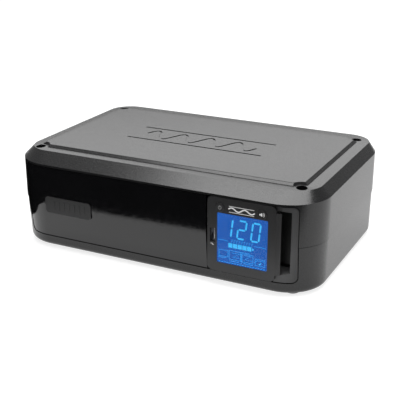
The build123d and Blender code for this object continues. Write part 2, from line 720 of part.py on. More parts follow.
# ---------------------------------------------------------------- power parts
def core_screw_places():
    return [(CORE_X + side * 53, CORE_Y + end * 14) for side in (-1, 1) for end in (-1, 1)]


def transformer_core():
    """E and I laminations: a block with two windows for the coil."""
    core = centred(CORE_X, CORE_Y, CORE_LOW, CORE)
    middle = CORE_LOW + CORE[2] / 2
    for side in (-1, 1):
        x = CORE_X + side * 23
        core -= block((x - 7.5, x + 7.5), (-200, 200), (middle - 23, middle + 23))
    return core


def transformer_coil():
    middle = CORE_LOW + CORE[2] / 2
    coil = Pos(CORE_X, CORE_Y, middle) * Box(59.0, 76, 45)
    coil = fillet(coil.edges().filter_by(Axis.Z), 9)
    return coil - Pos(CORE_X, CORE_Y, middle) * Box(31.4, CORE[1] + 0.2, 60)


def transformer_bobbin():
    """Moulded end flanges above and below the coil."""
    middle = CORE_LOW + CORE[2] / 2
    flanges = []
    for side in (-1, 1):
        z = middle + side * 22.75
        for end in (-1, 1):
            y = CORE_Y + end * 31.0
            flanges.append(Pos(CORE_X, y, z + side * 1.0) * Box(62, 17, 1.8))
    return joined(flanges)


def transformer_bracket():
    """Steel strap over the core, with ears that are screwed to the base."""
    strap_x = CORE[0] / 2 + 1.6
    ear_x = 60.0
    top = CORE_LOW + CORE[2]
    y = (CORE_Y - 20, CORE_Y + 20)
    ear_z = (CORE_LOW - 1.5, CORE_LOW)
    strap = block((CORE_X - strap_x, CORE_X + strap_x), y, (CORE_LOW - 1.5, top + 1.6))
    strap -= block((CORE_X - strap_x + 1.55, CORE_X + strap_x - 1.55), (-200, 200), (-1, top + 0.05))
    strap += block((CORE_X - ear_x, CORE_X - strap_x + 1.5), y, ear_z)
    strap += block((CORE_X + strap_x - 1.5, CORE_X + ear_x), y, ear_z)
    for x, y in core_screw_places():
        strap -= post(x, y, 0, CORE_LOW + 1, 2.3)
    return strap


def transformer_screws():
    screw = Pos(0, 0, CORE_LOW + 0.05) * extrude(RegularPolygon(3.6, 6), 2.8)
    screw += post(0, 0, CORE_LOW - 5, CORE_LOW + 0.1, 1.85)
    return repeat(screw, [(x, y, 0) for x, y in core_screw_places()])


def board_screw_places():
    return [(x, y) for x in (BOARD_LEFT + 5, BOARD_RIGHT - 5) for y in (BOARD_FRONT + 6, BOARD_BACK - 6)]


def main_board():
    board = block((BOARD_LEFT, BOARD_RIGHT), (BOARD_FRONT, BOARD_BACK), (BOARD_LOW, BOARD_LOW + BOARD_THICK))
    for x, y in board_screw_places():
        board -= post(x, y, 0, 50, 1.7)
    return board


def board_screws():
    screw = post(0, 0, BOARD_TOP, BOARD_TOP + 2, 2.8) + post(0, 0, BOARD_TOP - 6, BOARD_TOP + 0.1, 1.25)
    screw -= block((-2, 2), (-0.35, 0.35), (BOARD_TOP + 1, BOARD_TOP + 3))
    return repeat(screw, [(x, y, 0) for x, y in board_screw_places()])


def heat_sinks():
    """Two finned extrusions for the inverter's transistors."""
    height = (BOARD_TOP, BOARD_TOP + SINK_HEIGHT)
    sink = block((2, 42), (0, 3), height)
    for i in range(8):
        x = 2 + 5.2 * i
        sink += block((x, x + 1.6), (2.9, 14), height)
    return repeat(sink, [(0, y, 0) for y in SINK_Y])


def power_transistors():
    body = block((-5, 5), (-4.5, -0.05), (BOARD_TOP + 8, BOARD_TOP + 24))
    legs = [block((x - 0.4, x + 0.4), (-2.6, -2.0), (BOARD_TOP, BOARD_TOP + 8.2)) for x in (-2.5, 0, 2.5)]
    device = body + legs[0] + legs[1] + legs[2]
    return repeat(device, [(x, y, 0) for x in (9, 22, 35) for y in SINK_Y])


def capacitors():
    """Electrolytic cans behind the heat sinks."""
    cans = []
    for x, y, radius, height in ((6, 14, 8, 30), (25, 14, 8, 30), (4, 36, 5, 20), (17, 36, 5, 20)):
        can = post(x, y, BOARD_TOP, BOARD_TOP + height, radius)
        cans.append(fillet(can.edges().group_by(Axis.Z)[-1], 0.8))
    return joined(cans)


def relays():
    relay = centred(0, 0, BOARD_TOP, (15, 19, 16))
    relay = fillet(relay.edges().filter_by(Axis.Z), 1)
    return repeat(relay, [(33, 34, 0), (14, -36, 0)])


def toroid_choke():
    return Pos(10, -84, BOARD_TOP + 12.5) * Rot(0, 90, 0) * Torus(8.5, 3.8)


def line_fuse():
    fuse = bar(-84, BOARD_TOP + 5, 22, 40, 2.6)
    for x in (22, 35):
        fuse += block((x, x + 5), (-87, -81), (BOARD_TOP, BOARD_TOP + 4.4))
    return fuse


def alarm_buzzer():
    buzzer = post(6, 54, BOARD_TOP, BOARD_TOP + 9.5, 6)
    return buzzer - post(6, 54, BOARD_TOP + 8, BOARD_TOP + 12, 1.2)


def transformer_leads():
    """Four insulated wires from the coil down to the board."""
    leads = []
    for i in range(4):
        y = -45.5 + 5.5 * i
        z = 66.0 - 3 * i
        points = [
            (CORE_X - 29.6, CORE_Y - 34.0 + 3.4 * i, z),
            (56 - 2 * i, CORE_Y - 34.0 + 3.4 * i, z),
            (BOARD_RIGHT + 4.5, y, z - 14),
            (BOARD_RIGHT - 4.0, y, BOARD_TOP + 14),
            (BOARD_RIGHT - 4.0, y, BOARD_TOP + 0.1),
        ]
        leads.append(wire(points, [3, 6, 6], 2.6))
    return joined(leads)


def outlet_board():
    """Wiring board that links the outlets' contacts."""
    back = REAR_FACE - OUTLET_DEEP - 0.1
    return block((OUTLET_X[0] - 16, OUTLET_X[-1] + 16), (back - 2.0, back),
                 (OUTLET_ROWS[1] - 12, OUTLET_ROWS[0] + 12))


NODES = {
    "top_cover": top_cover(),
    "base_tray": base_tray(),
    "rear_panel": rear_panel(),
    "front_fascia": front_fascia(),
    "front_badge": front_badge(),
    "control_bay": control_bay(),
    "cover_screws": cover_screws(),
    "rubber_feet": rubber_feet(),
    "battery_door": battery_door(),
    "module_bezel": module_bezel(),
    "module_back": module_back(),
    "module_screws": module_screws(),
    "display_window": display_window(),
    "lcd_panel": lcd_panel(),
    "backlight": backlight(),
    "display_board": display_board(),
    "button_switches": button_switches(),
    "power_button": push_button(POWER_X),
    "mute_button": push_button(MUTE_X),
    "usb_charging_port": usb_charging_port(),
    "ribbon_socket": ribbon_socket(),
    "display_ribbon": display_ribbon(),
    "display_cable": display_cable(),
    "outlet_contacts": outlet_contacts(),
    "outlet_board": outlet_board(),
    "mains_inlet": mains_inlet(),
    "inlet_pins": inlet_pins(),
    "breaker_body": breaker_body(),
    "breaker_button": breaker_button(),
    "line_jacks": line_jacks(),
    "usb_data_port": usb_data_port(),
    "ground_screw": ground_screw(),
    "battery": battery(),
    "battery_terminals": battery_terminals(),
    "battery_lead_red": battery_lead(TERMINAL_Y[0], -36.0),
    "battery_lead_black": battery_lead(TERMINAL_Y[1], 26.0),
    "battery_pad": battery_pad(),
    "transformer_core": transformer_core(),
    "transformer_coil": transformer_coil(),
    "transformer_bobbin": transformer_bobbin(),
    "transformer_bracket": transformer_bracket(),
    "transformer_screws": transformer_screws(),
    "transformer_leads": transformer_leads(),
    "main_board": main_board(),
    "board_screws": board_screws(),
    "heat_sinks": heat_sinks(),
    "power_transistors": power_transistors(),
    "capacitors": capacitors(),
    "relays": relays(),
    "toroid_choke": toroid_choke(),
    "line_fuse": line_fuse(),
    "alarm_buzzer": alarm_buzzer(),
}

for number, place in enumerate(outlet_places(), start=1):
    NODES[f"outlet_{number}"] = Pos(*place) * outlet_face()

os.makedirs("parts", exist_ok=True)
for name, shape in NODES.items():
    export_step(shape, f"parts/{name}.step")
    print(name, len(shape.solids()), round(shape.volume))
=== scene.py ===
import math

import bmesh
import bpy
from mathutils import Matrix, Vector


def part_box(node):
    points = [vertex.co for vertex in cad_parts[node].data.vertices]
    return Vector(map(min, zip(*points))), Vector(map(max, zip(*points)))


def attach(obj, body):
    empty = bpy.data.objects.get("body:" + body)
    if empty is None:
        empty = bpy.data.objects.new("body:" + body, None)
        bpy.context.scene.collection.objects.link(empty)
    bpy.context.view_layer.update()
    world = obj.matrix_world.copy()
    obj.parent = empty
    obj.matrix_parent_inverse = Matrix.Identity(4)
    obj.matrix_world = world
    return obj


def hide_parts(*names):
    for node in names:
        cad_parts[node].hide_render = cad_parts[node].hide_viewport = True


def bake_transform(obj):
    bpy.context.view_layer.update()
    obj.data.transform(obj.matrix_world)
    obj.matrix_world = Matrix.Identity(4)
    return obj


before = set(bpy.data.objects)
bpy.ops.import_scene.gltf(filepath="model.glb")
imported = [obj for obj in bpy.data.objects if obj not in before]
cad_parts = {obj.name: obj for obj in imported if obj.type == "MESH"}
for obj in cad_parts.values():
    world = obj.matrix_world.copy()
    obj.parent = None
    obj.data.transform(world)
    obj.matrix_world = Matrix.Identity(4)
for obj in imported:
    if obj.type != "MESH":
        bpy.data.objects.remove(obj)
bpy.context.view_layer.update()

# Desktop uninterruptible power supply. Units are metres, +X is to the right, the front faces -Y.
# Sizes below are in millimetres and are multiplied by MM where they meet the scene, except for the
# camera, the lights and the stage, which are in metres.

# ---------------------------------------------------------------- sizes
MM = 0.001
MODULE = "display_module"

# camera: from the front right and above
CAMERA_AZIMUTH = 26.38
CAMERA_ELEVATION = 20.72
CAMERA_DISTANCE = 0.9316
CAMERA_LENS = 78.5
CAMERA_TARGET = Vector((-0.0014, 0.0, 0.0365))

# stage: a white floor, black cards just above it, a white room and two softboxes
FLOOR_HALF = 6.0
FLOOR_GLOW = 0.8
FLAG_HEIGHT = 0.0005
FLAGS = {
    "front_flag": ((-1.4, 1.4), (-1.6, -0.200)),
    "left_flag": ((-1.6, -0.212), (-0.2, 0.3)),
}
ROOM_LIGHT = 0.32
SOFTBOXES = [
    # name, place, aimed at, size, power in watts
    ("overhead_softbox", (0.113, -0.06, 0.95), (0.113, -0.059, 0.0), (1.074, 0.5), 10.2),
    ("back_softbox", (-0.745, 1.29, 1.11), (0.0, 0.0, 0.10), (2.0, 1.29), 13.1),
]

# shading of the carried-over pieces, angles in degrees
WELD_DISTANCE = 0.002
FLAT_ANGLE = 0.4
SPLIT_ANGLE = 22.0
BEVEL_ANGLE = 35.0
BEVEL_SEGMENTS = 2

# width of the rounded edges, for the pieces that have them
EDGES = {
    "module_bezel": 0.3,
    "power_button": 0.25,
    "mute_button": 0.25,
    "breaker_button": 0.4,
    "front_badge": 0.25,
    "cover_screws": 0.15,
    "rubber_feet": 0.4,
}

# printed marks stand this far proud of the face they are printed on
PRINT_RISE = 0.03
PRINT_ROOT = 0.01

# printed wave between two rules, above the screen
WAVE_LEFT = 81.5
WAVE_RIGHT = 107.5
WAVE_HEIGHT = 1.5
WAVE_COUNT = 2
WAVE_STEPS = 48
WAVE_STROKE = 1.15
RULE_OFFSET = 2.8
RULE_INSET = 0.6
RULE_STROKE = 0.5

# seven-segment figures on the screen, and which segments light up for each
SCREEN_FIGURES = "120"
FIGURE_WIDTH = 7.6
FIGURE_HEIGHT = 17.8
FIGURE_PITCH = 13.8
FIGURE_LEAN = math.tan(math.radians(6.7))
FIGURE_STROKE = 1.75
FIGURE_GAP = 0.35
SEGMENTS = {"1": "bc", "2": "abged", "0": "abcdef"}
SEGMENT_ENDS = {
    # (across, up) of both ends, in figure widths and half figure heights
    "a": ((0, 2), (1, 2)),
    "b": ((1, 2), (1, 1)),
    "c": ((1, 1), (1, 0)),
    "d": ((0, 0), (1, 0)),
    "e": ((0, 1), (0, 0)),
    "f": ((0, 2), (0, 1)),
    "g": ((0, 1), (1, 1)),
}

# unlit margin around the screen, and the widths of the thin strokes on it
SCREEN_EDGE = 2.0
LINE_STROKE = 0.6
BOX_STROKE = 0.55
TICK_STROKE = 0.5
DASH_STROKE = 0.75

# places on the screen, as shares of its width from the left and of its height from the top
FIGURES_AT = (0.118, 0.428)
CHARGE_BLOCKS = 5
CHARGE_LEFT = 0.225
CHARGE_PITCH = 0.094
CHARGE_WIDTH = 0.083
CHARGE_ROWS = (0.55, 0.64)
CHARGE_TIP = [(0.700, 0.565), (0.742, 0.595), (0.700, 0.625)]
LEAF = [(0.83, 0.875), (0.87, 0.835), (0.89, 0.845), (0.86, 0.885)]
SCREEN_LINES = [
    [(0.01, 0.515), (0.11, 0.505), (0.21, 0.520)],
    [(0.74, 0.525), (0.86, 0.520), (0.96, 0.530)],
    [(0.30, 0.700), (0.66, 0.695)],
    [(0.30, 0.745), (0.46, 0.735), (0.32, 0.830), (0.45, 0.825)],
    [(0.54, 0.745), (0.68, 0.745), (0.56, 0.830), (0.70, 0.835)],
    [(0.49, 0.720), (0.49, 0.930)],
    [(0.02, 0.870), (0.13, 0.875), (0.18, 0.860)],
    [(0.75, 0.860), (0.80, 0.800), (0.94, 0.800)],
    [(0.26, 0.915), (0.44, 0.915)],
    [(0.53, 0.915), (0.72, 0.915)],
]
SCREEN_BOXES = [
    # left, top, right, bottom
    (0.04, 0.715, 0.22, 0.845),
    (0.245, 0.700, 0.475, 0.880),
    (0.505, 0.720, 0.720, 0.885),
    (0.765, 0.770, 0.955, 0.905),
]
TICK_COUNT = 9
TICK_LEFT = 0.285
TICK_PITCH = 0.05
DASH_COUNT = 18
DASH_LEFT = 0.035
DASH_PITCH = 0.052

# folded flat cable behind the display module
FOLD_COUNT = 7
FOLD_DEPTH = 3.9
FOLD_STEPS = 16
FOLD_END_GAP = 0.02
FLAT_CABLE_WIDTH = 12.7
FLAT_CABLE_THICK = 0.35
FLAT_CABLE_PITCH = 1.27

# colours, as linear values
SHELL_GREY = (0.0075, 0.0075, 0.0079)
GLOSS_BLACK = (0.0035, 0.0035, 0.004)
BEZEL_GREY = (0.018, 0.018, 0.0185)
BAY_GREY = (0.042, 0.042, 0.043)
LCD_BLUE = (0.012, 0.095, 0.410)
LCD_DIM = (0.025, 0.300, 0.780)
LCD_CYAN = (0.050, 0.480, 0.920)
PRINT_WHITE = (0.75, 0.75, 0.75)
PRINT_MID = (0.32, 0.32, 0.32)
# black that is painted deep inside the bay, a painted shade
PAINTED_SHADE_BLACK = (0.002, 0.002, 0.002)

# refractive indices
PLASTIC_IOR = 1.5
LACQUER_IOR = 1.56


# ---------------------------------------------------------------- mesh helpers
def new_object(name, data):
    obj = bpy.data.objects.new(name, data)
    bpy.context.scene.collection.objects.link(obj)
    return obj


def mesh_piece(name, verts, faces):
    mesh = bpy.data.meshes.new(name)
    mesh.from_pydata([tuple(v) for v in verts], [], faces)
    mesh.validate()
    return new_object(name, mesh)


def shade_smooth(obj):
    for polygon in obj.data.polygons:
        polygon.use_smooth = True


def add_weld(obj):
    weld = obj.modifiers.new("weld", "WELD")
    weld.merge_threshold = WELD_DISTANCE * MM


def add_even_shading(obj):
    normals = obj.modifiers.new("normals", "WEIGHTED_NORMAL")
    normals.weight = 100
    normals.keep_sharp = True
    shade_smooth(obj)


def clean_shading(obj):
    """Flat faces stay flat and curved faces smooth: the shading breaks at every sharp edge."""
    add_weld(obj)
    split = obj.modifiers.new("sharp_edges", "EDGE_SPLIT")
    split.split_angle = math.radians(SPLIT_ANGLE)
    add_even_shading(obj)


def round_edges(obj, width):
    """Welds the mesh, rounds its sharp edges and evens out its shading."""
    add_weld(obj)
    flat = obj.modifiers.new("flat_faces", "DECIMATE")
    flat.decimate_type = "DISSOLVE"
    flat.angle_limit = math.radians(FLAT_ANGLE)
    bevel = obj.modifiers.new("edge_round", "BEVEL")
    bevel.width = width
    bevel.segments = BEVEL_SEGMENTS
    bevel.limit_method = "ANGLE"
    bevel.angle_limit = math.radians(BEVEL_ANGLE)
    bevel.miter_outer = "MITER_ARC"
    add_even_shading(obj)


# ---------------------------------------------------------------- materials
class Nodes:
    """A material's node tree, with short calls for the nodes that the materials share."""

    def __init__(self, name):
        self.material = bpy.data.materials.new(name)
        self.material.use_nodes = True
        self.tree = self.material.node_tree
        self.shader = self.tree.nodes["Principled BSDF"]
        self.place = self.tree.nodes.new("ShaderNodeTexCoord").outputs["Object"]

    def add(self, kind, **settings):
        node = self.tree.nodes.new(kind)
        for key, value in settings.items():
            setattr(node, key, value)
        return node

    def link(self, source, target):
        self.tree.links.new(source, target)

    def noise(self, scale, detail=3.0, place=None):
        node = self.add("ShaderNodeTexNoise")
        node.inputs["Scale"].default_value = scale
        node.inputs["Detail"].default_value = detail
        node.inputs["Roughness"].default_value = 0.55
        self.link(place or self.place, node.inputs["Vector"])
        return node.outputs["Fac"]

    def span(self, value, low, high, start=0.0, end=1.0):
        """The value's range from start to end, mapped to low and high."""
        node = self.add("ShaderNodeMapRange")
        self.link(value, node.inputs["Value"])
        node.inputs["From Min"].default_value = start
        node.inputs["From Max"].default_value = end
        node.inputs["To Min"].default_value = low
        node.inputs["To Max"].default_value = high
        return node.outputs["Result"]

    def ramp(self, value, stops):
        node = self.add("ShaderNodeValToRGB")
        self.link(value, node.inputs["Fac"])
        elements = node.color_ramp.elements
        while len(elements) < len(stops):
            elements.new(0.5)
        for element, (position, colour) in zip(elements, stops):
            element.position = position
            element.color = (*colour, 1.0)
        return node.outputs["Color"]

    def bump(self, height, strength, distance, normal=None):
        node = self.add("ShaderNodeBump")
        node.inputs["Strength"].default_value = strength
        node.inputs["Distance"].default_value = distance
        self.link(height, node.inputs["Height"])
        if normal:
            self.link(normal, node.inputs["Normal"])
        self.link(node.outputs["Normal"], self.shader.inputs["Normal"])
        return node.outputs["Normal"]

    def along(self, axis):
        """Distance along one axis, in metres."""
        node = self.add("ShaderNodeSeparateXYZ")
        self.link(self.place, node.inputs["Vector"])
        return node.outputs[axis]

    def bands(self, axis, pitch):
        """Smooth stripes across one axis, from 0 to 1, one every pitch metres."""
        node = self.add("ShaderNodeTexWave", wave_type="BANDS", bands_direction=axis)
        node.inputs["Scale"].default_value = math.pi / (10.0 * pitch)
        self.link(self.place, node.inputs["Vector"])
        return node.outputs["Fac"]

    def mixed(self, factor, first, second):
        """Colour that goes from first to second as the factor grows; each may be a socket."""
        node = self.add("ShaderNodeMix", data_type="RGBA")
        self.link(factor, node.inputs["Factor"])
        for name, colour in (("A", first), ("B", second)):
            socket = [s for s in node.inputs if s.name == name and s.type == "RGBA"][0]
            if isinstance(colour, tuple):
                socket.default_value = (*colour, 1.0)
            else:
                self.link(colour, socket)
        return [s for s in node.outputs if s.type == "RGBA"][0]

    def step(self, value, edge):
        """1 where the value is above the edge, otherwise 0."""
        node = self.add("ShaderNodeMath", operation="GREATER_THAN")
        self.link(value, node.inputs[0])
        node.inputs[1].default_value = edge
        return node.outputs["Value"]

    def cells(self, scale):
        """Distance from the centre of each cell of an uneven grid."""
        node = self.add("ShaderNodeTexVoronoi")
        node.inputs["Scale"].default_value = scale
        self.link(self.place, node.inputs["Vector"])
        return node.outputs["Distance"]

    def bricks(self, scale, mortar, tone):
        """Grid of two near tones with a line between its cells, for printed tracks."""
        node = self.add("ShaderNodeTexBrick")
        node.inputs["Scale"].default_value = scale
        node.inputs["Mortar Size"].default_value = mortar
        node.inputs["Color1"].default_value = (*tone[0], 1.0)
        node.inputs["Color2"].default_value = (*tone[1], 1.0)
        node.inputs["Mortar"].default_value = (*tone[2], 1.0)
        self.link(self.place, node.inputs["Vector"])
        return node.outputs["Color"]


def shade(colour, factor):
    """Lighter or darker version of a colour."""
    return tuple(min(1.0, channel * factor) for channel in colour)


def plastic(name, colour, roughness, grain=2500.0, depth=0.02, spread=0.12, ridges=None, recess_shade=None,
            ior=PLASTIC_IOR):
    """Moulded plastic: slight colour and gloss variation and a fine grain of the given depth.

    Where given, ridges are (axis, pitch, height), and the recess shade range is the Y range over
    which the plastic is painted black, a painted shade that deepens into a recess.
    """
    nodes = Nodes(name)
    patches = nodes.noise(18.0, 4.0)
    tone = nodes.ramp(patches, [(0.3, shade(colour, 1 - spread)), (0.7, shade(colour, 1 + spread))])
    fine = nodes.noise(grain, 2.0)
    gloss = nodes.span(fine, roughness - 0.05, roughness + 0.05, 0.3, 0.7)
    nodes.link(gloss, nodes.shader.inputs["Roughness"])
    normal = nodes.bump(fine, 0.5, depth * MM)
    if ridges:
        axis, pitch, height = ridges
        stripe = nodes.bands(axis, pitch * MM)
        # the grooves between the ridges are painted darker, a painted shade; where the ridges have no
        # height it is only a dark stripe
        tone = nodes.mixed(stripe, shade(colour, 0.45), tone)
        nodes.bump(stripe, 0.8, height * MM, normal)
    # painted shade: the plastic turns black along Y, deeper into the recess
    if recess_shade:
        painted_shade = nodes.span(nodes.along("Y"), 0.0, 1.0, recess_shade[0] * MM, recess_shade[1] * MM)
        tone = nodes.mixed(painted_shade, tone, PAINTED_SHADE_BLACK)
    nodes.link(tone, nodes.shader.inputs["Base Color"])
    nodes.shader.inputs["IOR"].default_value = ior
    return nodes.material


def metal(name, colour, roughness, scale=900.0, depth=0.01, ridges=None):
    """Plated metal: lightly brushed, with uneven gloss and, where given, ridges (axis, pitch, height)."""
    nodes = Nodes(name)
    stretch = nodes.add("ShaderNodeMapping")
    stretch.inputs["Scale"].default_value = (1.0, 1.0, 0.12)
    nodes.link(nodes.place, stretch.inputs["Vector"])
    grain = nodes.noise(scale, 3.0, place=stretch.outputs["Vector"])
    tone = nodes.ramp(grain, [(0.3, shade(colour, 0.8)), (0.7, shade(colour, 1.1))])
    gloss = nodes.span(grain, roughness - 0.08, roughness + 0.1, 0.3, 0.7)
    nodes.link(gloss, nodes.shader.inputs["Roughness"])
    normal = nodes.bump(grain, 0.4, depth * MM)
    if ridges:
        axis, pitch, height = ridges
        stripe = nodes.bands(axis, pitch * MM)
        # the grooves between the ridges are painted darker, a painted shade
        tone = nodes.mixed(stripe, shade(colour, 0.35), tone)
        nodes.bump(stripe, 0.9, height * MM, normal)
    nodes.link(tone, nodes.shader.inputs["Base Color"])
    nodes.shader.inputs["Metallic"].default_value = 1.0
    return nodes.material


def clear(name, tint, roughness, ior, gloss=0.5):
    """Clear plastic or glass with faint wipe marks; low index and gloss stand for an anti-glare coat."""
    nodes = Nodes(name)
    smear = nodes.noise(60.0, 5.0)
    tone = nodes.ramp(smear, [(0.3, shade(tint, 0.97)), (0.7, tint)])
    nodes.link(tone, nodes.shader.inputs["Base Color"])
    wiped = nodes.span(smear, roughness, roughness + 0.05, 0.35, 0.7)
    nodes.link(wiped, nodes.shader.inputs["Roughness"])
    nodes.shader.inputs["Transmission Weight"].default_value = 1.0
    nodes.shader.inputs["IOR"].default_value = ior
    nodes.shader.inputs["Specular IOR Level"].default_value = gloss
    return nodes.material


def glow(name, colour):
    """Backlit surface: its light varies a little across the screen, over a fine dot pattern."""
    nodes = Nodes(name)
    uneven = nodes.noise(30.0, 2.0)
    light = nodes.ramp(uneven, [(0.3, shade(colour, 0.94)), (0.7, shade(colour, 1.06))])
    nodes.link(light, nodes.shader.inputs["Emission Color"])
    nodes.shader.inputs["Emission Strength"].default_value = 1.0
    dots = nodes.ramp(nodes.cells(2400.0), [(0.2, shade(colour, 0.1)), (0.8, shade(colour, 0.2))])
    nodes.link(dots, nodes.shader.inputs["Base Color"])
    nodes.shader.inputs["Roughness"].default_value = 0.35
    nodes.shader.inputs["Specular IOR Level"].default_value = 0.1
    return nodes.material


def printed_board(name, lacquer, copper):
    """Lacquered circuit board: tracks under the green lacquer and bare solder dots."""
    nodes = Nodes(name)
    tracks = nodes.bricks(170.0, 0.09, (shade(lacquer, 0.8), lacquer, shade(lacquer, 2.1)))
    dots = nodes.step(nodes.cells(330.0), 0.17)
    nodes.link(nodes.mixed(dots, copper, tracks), nodes.shader.inputs["Base Color"])
    fine = nodes.noise(900.0, 2.0)
    nodes.link(nodes.span(fine, 0.28, 0.40, 0.3, 0.7), nodes.shader.inputs["Roughness"])
    nodes.bump(dots, 0.4, 0.05 * MM, nodes.bump(fine, 0.3, 0.02 * MM))
    return nodes.material


# a material for each material slot that the CAD pieces name
SLOTS = {
    "shell_plastic": plastic("shell_plastic", SHELL_GREY, 0.25, grain=1500.0, depth=0.03),
    "gloss_fascia": plastic("gloss_fascia", GLOSS_BLACK, 0.10, grain=300.0, depth=0.002, ior=LACQUER_IOR),
    "badge_plastic": plastic("badge_plastic", BEZEL_GREY, 0.42, grain=1800.0),
    # painted shade: the bay is painted black from y -104 mm, fully black from -97 mm inwards
    "bay_plastic": plastic("bay_plastic", BAY_GREY, 0.40, grain=1800.0, recess_shade=(-104.0, -97.0)),
    "bezel_plastic": plastic("bezel_plastic", BEZEL_GREY, 0.40, grain=1800.0),
    "button_plastic": plastic("button_plastic", BEZEL_GREY, 0.38, grain=1800.0),
    "outlet_plastic": plastic("outlet_plastic", (0.030, 0.030, 0.031), 0.38),
    "component_black": plastic("component_black", (0.012, 0.012, 0.013), 0.45),
    "connector_white": plastic("connector_white", (0.62, 0.60, 0.54), 0.40),
    "ribbon_cable": plastic("ribbon_cable", (0.42, 0.42, 0.44), 0.45,
                            ridges=("X", FLAT_CABLE_PITCH, 0.15)),
    "cable_grey": plastic("cable_grey", (0.09, 0.09, 0.10), 0.48),
    "foot_rubber": plastic("foot_rubber", (0.014, 0.014, 0.014), 0.75, grain=1200.0, depth=0.05),
    "breaker_button": plastic("breaker_button", (0.020, 0.020, 0.021), 0.30),
    "battery_case": plastic("battery_case", (0.085, 0.090, 0.100), 0.42),
    "wire_red": plastic("wire_red", (0.46, 0.015, 0.012), 0.38),
    "wire_black": plastic("wire_black", (0.012, 0.012, 0.012), 0.38),
    "wire_yellow": plastic("wire_yellow", (0.62, 0.40, 0.02), 0.38),
    "foam_pad": plastic("foam_pad", (0.035, 0.035, 0.036), 0.95, grain=900.0, depth=0.4),
    "bobbin_plastic": plastic("bobbin_plastic", (0.50, 0.45, 0.33), 0.42),
    "relay_case": plastic("relay_case", (0.02, 0.045, 0.11), 0.35),
    "choke_core": plastic("choke_core", (0.50, 0.20, 0.08), 0.42, ridges=("X", 1.4, 0.4)),
    "capacitor_sleeve": plastic("capacitor_sleeve", (0.015, 0.02, 0.05), 0.28, ridges=("X", 12.0, 0.0)),
    "circuit_board": printed_board("circuit_board", (0.012, 0.10, 0.035), (0.55, 0.50, 0.42)),
    "light_guide": plastic("light_guide", (0.65, 0.72, 0.80), 0.25),
    "lcd_glass": glow("lcd_glass", LCD_BLUE),
    "fuse_glass": clear("fuse_glass", (0.90, 0.92, 0.90), 0.02, 1.45),
    "window_glass": clear("window_glass", (0.94, 0.96, 0.97), 0.03, 1.15, 0.3),
    "steel_screw": metal("steel_screw", (0.42, 0.42, 0.43), 0.30),
    "brass_screw": metal("brass_screw", (0.62, 0.46, 0.20), 0.32),
    "port_metal": metal("port_metal", (0.52, 0.53, 0.55), 0.26),
    "contact_brass": metal("contact_brass", (0.66, 0.48, 0.20), 0.30),
    "core_steel": metal("core_steel", (0.16, 0.155, 0.15), 0.45, scale=300.0, ridges=("Y", 0.7, 0.1)),
    "bracket_steel": metal("bracket_steel", (0.45, 0.45, 0.46), 0.38),
    "sink_aluminium": metal("sink_aluminium", (0.55, 0.56, 0.57), 0.42),
    "coil_copper": metal("coil_copper", (0.50, 0.20, 0.08), 0.35, ridges=("Z", 1.1, 0.4)),
}

for name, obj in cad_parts.items():
    slot = obj.data.materials[0].name.split(".")[0]
    obj.data.materials[0] = SLOTS[slot]
    if name in EDGES:
        round_edges(obj, EDGES[name] * MM)
    else:
        clean_shading(obj)


# ---------------------------------------------------------------- printed marks and screen graphics
class Plate:
    """Thin flat shapes that face the front, drawn in X and Z and built as closed solids."""

    MITRE_LIMIT = 0.5

    def __init__(self, front, back):
        self.front = front
        self.back = back
        self.verts = []
        self.faces = []

    def point(self, x, z, y):
        """Adds a corner and gives its number."""
        self.verts.append((x * MM, y * MM, z * MM))
        return len(self.verts) - 1

    def outline(self, points):
        """Convex shape from its corners."""
        front = [self.point(x, z, self.front) for x, z in points]
        back = [self.point(x, z, self.back) for x, z in points]
        self.faces.append(front)
        self.faces.append(back[::-1])
        for i in range(len(points)):
            after = (i + 1) % len(points)
            self.faces.append((front[i], back[i], back[after], front[after]))

    def stroke(self, points, width, closed=False):
        """Line of one width through the points, with mitred corners."""
        places = [Vector(p) for p in points]
        count = len(places)
        rings = []
        for i, place in enumerate(places):
            before = places[i - 1] if i > 0 or closed else place
            after = places[(i + 1) % count] if i < count - 1 or closed else place
            incoming = ((place if before != place else after) - before).normalized()
            outgoing = (after - place).normalized() if after != place else incoming
            along = (incoming + outgoing).normalized()
            reach = width / 2 / max(self.MITRE_LIMIT, along.dot(outgoing))
            across = Vector((-along.y, along.x)) * reach
            sides = (place + across, place - across)
            ring = [self.point(sides[k].x, sides[k].y, y)
                    for k, y in ((0, self.front), (1, self.front), (1, self.back), (0, self.back))]
            rings.append(ring)
        spans = list(zip(rings, rings[1:]))
        if closed:
            spans.append((rings[-1], rings[0]))
        else:
            self.faces.append(rings[0][::-1])
            self.faces.append(rings[-1])
        for first, second in spans:
            for k in range(4):
                after = (k + 1) % 4
                self.faces.append((first[k], first[after], second[after], second[k]))

    def piece(self, name, material, body):
        """One object of all the shapes, riding on a body."""
        obj = mesh_piece(name, self.verts, self.faces)
        solid = bmesh.new()
        solid.from_mesh(obj.data)
        bmesh.ops.recalc_face_normals(solid, faces=solid.faces)
        solid.to_mesh(obj.data)
        solid.free()
        obj.data.materials.append(material)
        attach(obj, body)


def arc(centre, radius, start, end, steps=20):
    """Points on a circle from the start angle to the end angle, in degrees."""
    angles = [math.radians(start + (end - start) * i / steps) for i in range(steps + 1)]
    return [(centre[0] + radius * math.cos(a), centre[1] + radius * math.sin(a)) for a in angles]


def middle(node):
    """Centre of a node's box, in millimetres."""
    low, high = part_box(node)
    return (low + high) / 2 / MM


def printed(node):
    """Plate that stands just proud of the front face of a node."""
    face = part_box(node)[0].y / MM
    return Plate(face - PRINT_RISE, face + PRINT_ROOT)


def print_power_symbol():
    """Ring that is open at the top, with a short bar in the opening."""
    radius = 1.55
    opening = 35
    stroke = 0.42
    centre = middle("power_button")
    mark = printed("power_button")
    mark.stroke(arc((centre.x, centre.z), radius, 90 + opening, 450 - opening), stroke)
    mark.stroke([(centre.x, centre.z + 0.2), (centre.x, centre.z + 2.1)], stroke)
    mark.piece("power_symbol", PRINT_GREY, "power_button")


